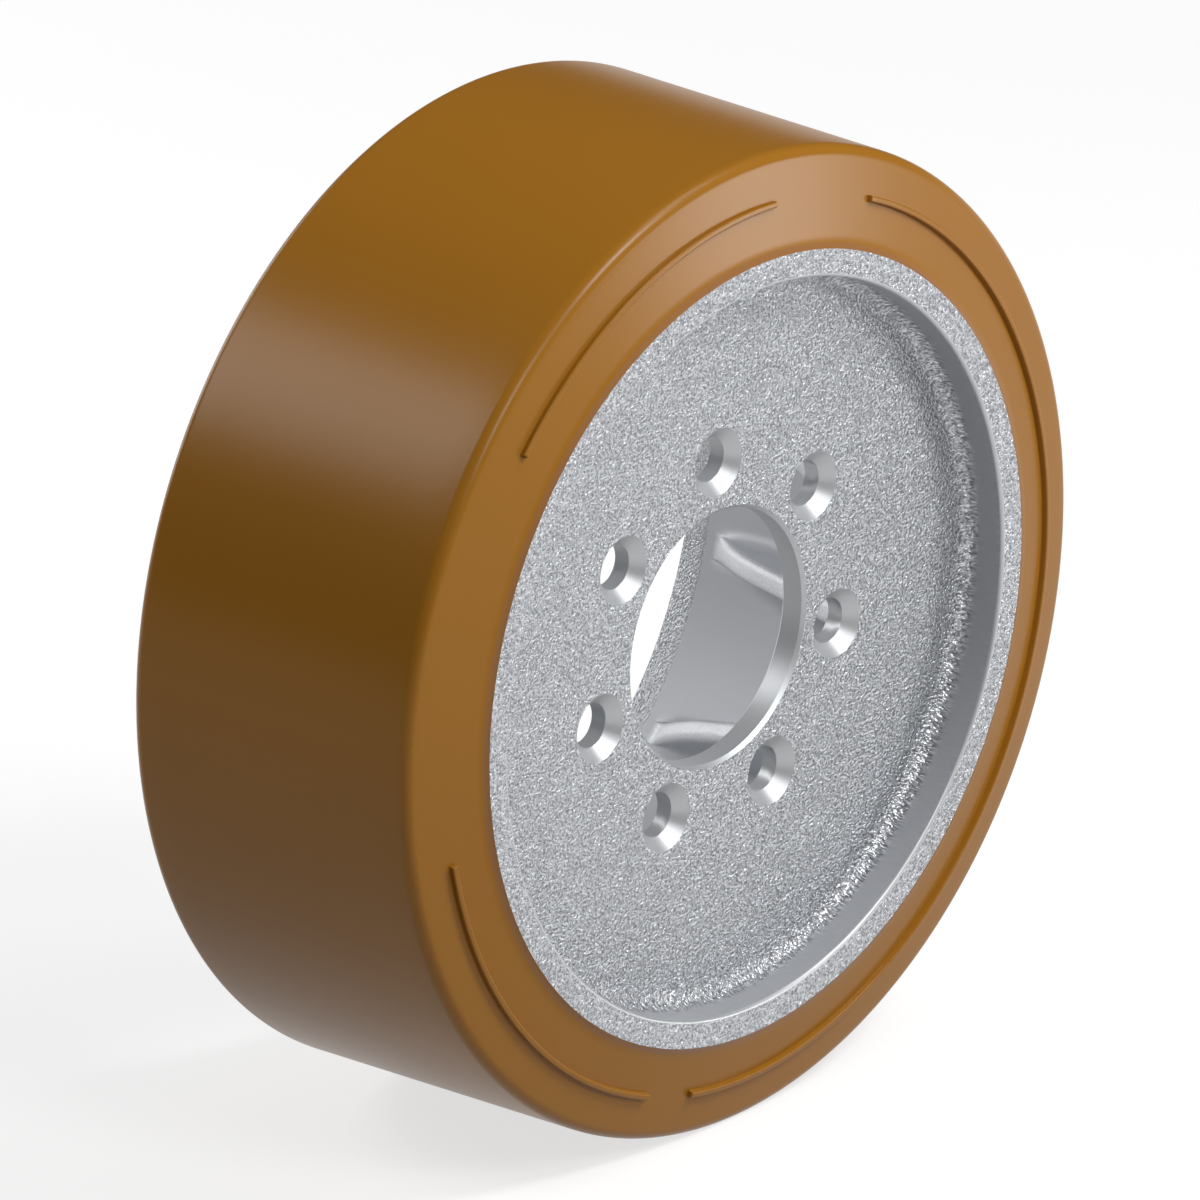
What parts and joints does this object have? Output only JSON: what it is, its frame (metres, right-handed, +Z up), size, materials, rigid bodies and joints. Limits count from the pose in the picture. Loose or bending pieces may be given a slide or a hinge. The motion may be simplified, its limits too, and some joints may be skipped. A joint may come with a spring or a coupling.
{
  "type": "drive wheel",
  "caption": "Bolt-on industrial drive wheel: a ribbed cast iron centre with a pilot bore, a ring of cone-seated bolt holes and a bonded polyurethane tread.",
  "frame": {"origin": "centre of the wheel, on the spin axis and midway between the rim's two faces", "axes": "+Y along the spin axis towards the drive unit, so the recessed front with the bolt seats faces -Y; +Z up through the top bolt hole"},
  "size_m": [0.285, 0.113, 0.285],
  "materials": {
    "tread_polyurethane": "satin brown moulded polyurethane",
    "casting_iron": "bare silver grey casting with grain, bored and drilled faces smooth"
  },
  "bodies": {
    "root": {"tread": "tread_polyurethane", "wheel_centre": "casting_iron"}
  },
  "joints": []
}
